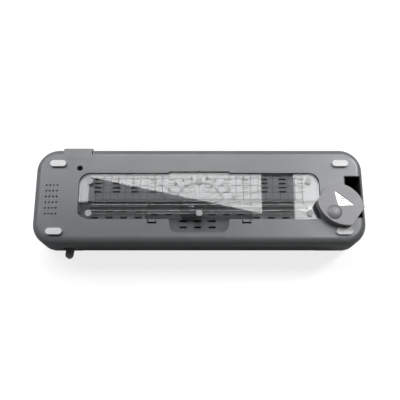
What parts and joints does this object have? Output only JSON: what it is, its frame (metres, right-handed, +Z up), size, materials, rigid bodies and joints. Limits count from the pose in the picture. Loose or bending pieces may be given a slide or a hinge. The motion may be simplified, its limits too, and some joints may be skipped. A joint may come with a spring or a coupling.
{
  "type": "pouch laminator with stowed paper trimmer and corner rounder",
  "caption": "Desktop pouch laminator lying on its top, underside up, with a clear ruled paper trimmer clipped in its recess and a push button corner rounder beside its storage pocket.",
  "frame": {"origin": "centre of the flat face of the top cover that the machine rests on as pictured", "axes": "+X along the machine to the right as pictured, +Y away from the pouch entry side, +Z up out of the underside"},
  "size_m": [0.456, 0.1525, 0.0809],
  "materials": {
    "shell_under": "fine satin",
    "lever_grey": "satin",
    "plate_bright": "bright plated",
    "shell_top": "fine satin",
    "liner_black": "matte",
    "rubber_black": "matte",
    "foot_white": "smooth satin",
    "screw_steel": "zinc plated",
    "frame_steel": "galvanised sheet",
    "bushing_bronze": "sintered bronze",
    "spring_steel": "spring wire",
    "shaft_steel": "ground",
    "sleeve_silicone": "smooth silicone",
    "gear_plastic": "moulded acetal",
    "motor_steel": "plated can",
    "heater_aluminium": "as extruded",
    "thermostat_ceramic": "matt",
    "guide_plastic": "heat resistant plastic",
    "board_green": "solder resist",
    "board_black": "moulded packages",
    "lens_clear": "clear moulded",
    "switch_black": "gloss",
    "trimmer_clear": "clear acrylic, polished",
    "pad_white": "soft translucent",
    "strip_dark": "cutting strip",
    "carriage_grey": "satin",
    "blade_steel": "ground bright",
    "rounder_silver": "silver grey satin"
  },
  "bodies": {
    "housing": {"bottom_shell": "shell_under", "top_cover": "shell_top", "pocket_liner": "liner_black", "cord_block": "shell_under", "cord_grommet": "rubber_black", "foot_near_left": "foot_white", "foot_near_right": "foot_white", "foot_far_left": "foot_white", "foot_far_right": "foot_white", "housing_screws": "screw_steel", "frame_left": "frame_steel", "frame_right": "frame_steel", "frame_screws": "screw_steel", "roller_bushings": "bushing_bronze", "pressure_springs": "spring_steel", "motor_case": "motor_steel", "motor_bracket": "frame_steel", "heat_plates": "heater_aluminium", "thermostat": "thermostat_ceramic", "entry_guides": "guide_plastic", "exit_guides": "guide_plastic", "control_board": "board_green", "board_parts": "board_black", "light_pipes": "lens_clear", "power_switch": "switch_black"},
    "drive_roller_a": {"drive_shaft_a": "shaft_steel", "drive_sleeve_a": "sleeve_silicone", "drive_gear_a": "gear_plastic"},
    "drive_roller_b": {"drive_shaft_b": "shaft_steel", "drive_sleeve_b": "sleeve_silicone", "drive_gear_b": "gear_plastic"},
    "pinch_roller_a": {"pinch_shaft_a": "shaft_steel", "pinch_sleeve_a": "sleeve_silicone", "pinch_gear_a": "gear_plastic"},
    "pinch_roller_b": {"pinch_shaft_b": "shaft_steel", "pinch_sleeve_b": "sleeve_silicone", "pinch_gear_b": "gear_plastic"},
    "idler": {"idler_gear": "gear_plastic"},
    "pinion": {"motor_pinion": "gear_plastic"},
    "release": {"release_lever": "lever_grey", "release_shaft": "shaft_steel"},
    "rocker": {"power_rocker": "switch_black"},
    "trimmer": {"trimmer_plate": "trimmer_clear", "trimmer_pads": "pad_white", "trimmer_rail": "trimmer_clear", "rail_mounts": "trimmer_clear", "cutting_strip": "strip_dark"},
    "carriage": {"cutter_carriage": "carriage_grey", "cutter_axle": "shaft_steel"},
    "blade": {"cutter_blade": "blade_steel"},
    "rounder": {"rounder_base": "rounder_silver", "rounder_cover": "rounder_silver", "rounder_die": "blade_steel", "rounder_plate": "plate_bright", "rounder_spring": "spring_steel", "rounder_screws": "screw_steel"},
    "rounder_press": {"rounder_button": "rounder_silver", "rounder_punch": "blade_steel"}
  },
  "joints": [
    {"name": "drive_a_spin", "type": "hinge", "parent": "housing", "child": "drive_roller_a", "pos_m": [0, 0.008, 0.031], "axis": [1, 0, 0], "continuous": true},
    {"name": "drive_b_spin", "type": "hinge", "parent": "housing", "child": "drive_roller_b", "pos_m": [0, 0.044, 0.031], "axis": [1, 0, 0], "continuous": true},
    {"name": "pinch_a_spin", "type": "hinge", "parent": "housing", "child": "pinch_roller_a", "pos_m": [0, 0.008, 0.013], "axis": [1, 0, 0], "continuous": true},
    {"name": "pinch_b_spin", "type": "hinge", "parent": "housing", "child": "pinch_roller_b", "pos_m": [0, 0.044, 0.013], "axis": [1, 0, 0], "continuous": true},
    {"name": "idler_spin", "type": "hinge", "parent": "housing", "child": "idler", "pos_m": [-0.179, 0.026, 0.031], "axis": [1, 0, 0], "continuous": true},
    {"name": "pinion_spin", "type": "hinge", "parent": "housing", "child": "pinion", "pos_m": [-0.179, 0.026, 0.046], "axis": [1, 0, 0], "continuous": true},
    {"name": "release_turn", "type": "hinge", "parent": "housing", "child": "release", "pos_m": [0, -0.044, 0.011], "axis": [1, 0, 0], "range_deg": [-20, 0]},
    {"name": "power_rock", "type": "hinge", "parent": "housing", "child": "rocker", "pos_m": [0.1845, 0.066, 0.032], "axis": [1, 0, 0], "range_deg": [0, 12]},
    {"name": "trimmer_lift", "type": "slide", "parent": "housing", "child": "trimmer", "axis": [0, 0, 1], "range_m": [0, 0.06]},
    {"name": "carriage_slide", "type": "slide", "parent": "trimmer", "child": "carriage", "axis": [1, 0, 0], "range_m": [-0.049, 0.071]},
    {"name": "blade_spin", "type": "hinge", "parent": "carriage", "child": "blade", "pos_m": [-0.0109, -0.01625, 0.0476], "axis": [0, 1, 0], "continuous": true},
    {"name": "rounder_lift", "type": "slide", "parent": "trimmer", "child": "rounder", "axis": [0, 0, 1], "range_m": [0, 0.05]},
    {"name": "rounder_push", "type": "slide", "parent": "rounder", "child": "rounder_press", "axis": [0, 0, -1], "range_m": [0, 0.003], "stiffness_N_per_m": 800, "springref_m": -0.001, "deforming": ["rounder_spring"]}
  ],
  "couplings": [
    {"joint": "drive_b_spin", "follows": "drive_a_spin", "ratio": 1},
    {"joint": "pinch_a_spin", "follows": "drive_a_spin", "ratio": -1},
    {"joint": "pinch_b_spin", "follows": "drive_a_spin", "ratio": -1},
    {"joint": "idler_spin", "follows": "drive_a_spin", "ratio": -1},
    {"joint": "pinion_spin", "follows": "drive_a_spin", "ratio": 1.5}
  ]
}
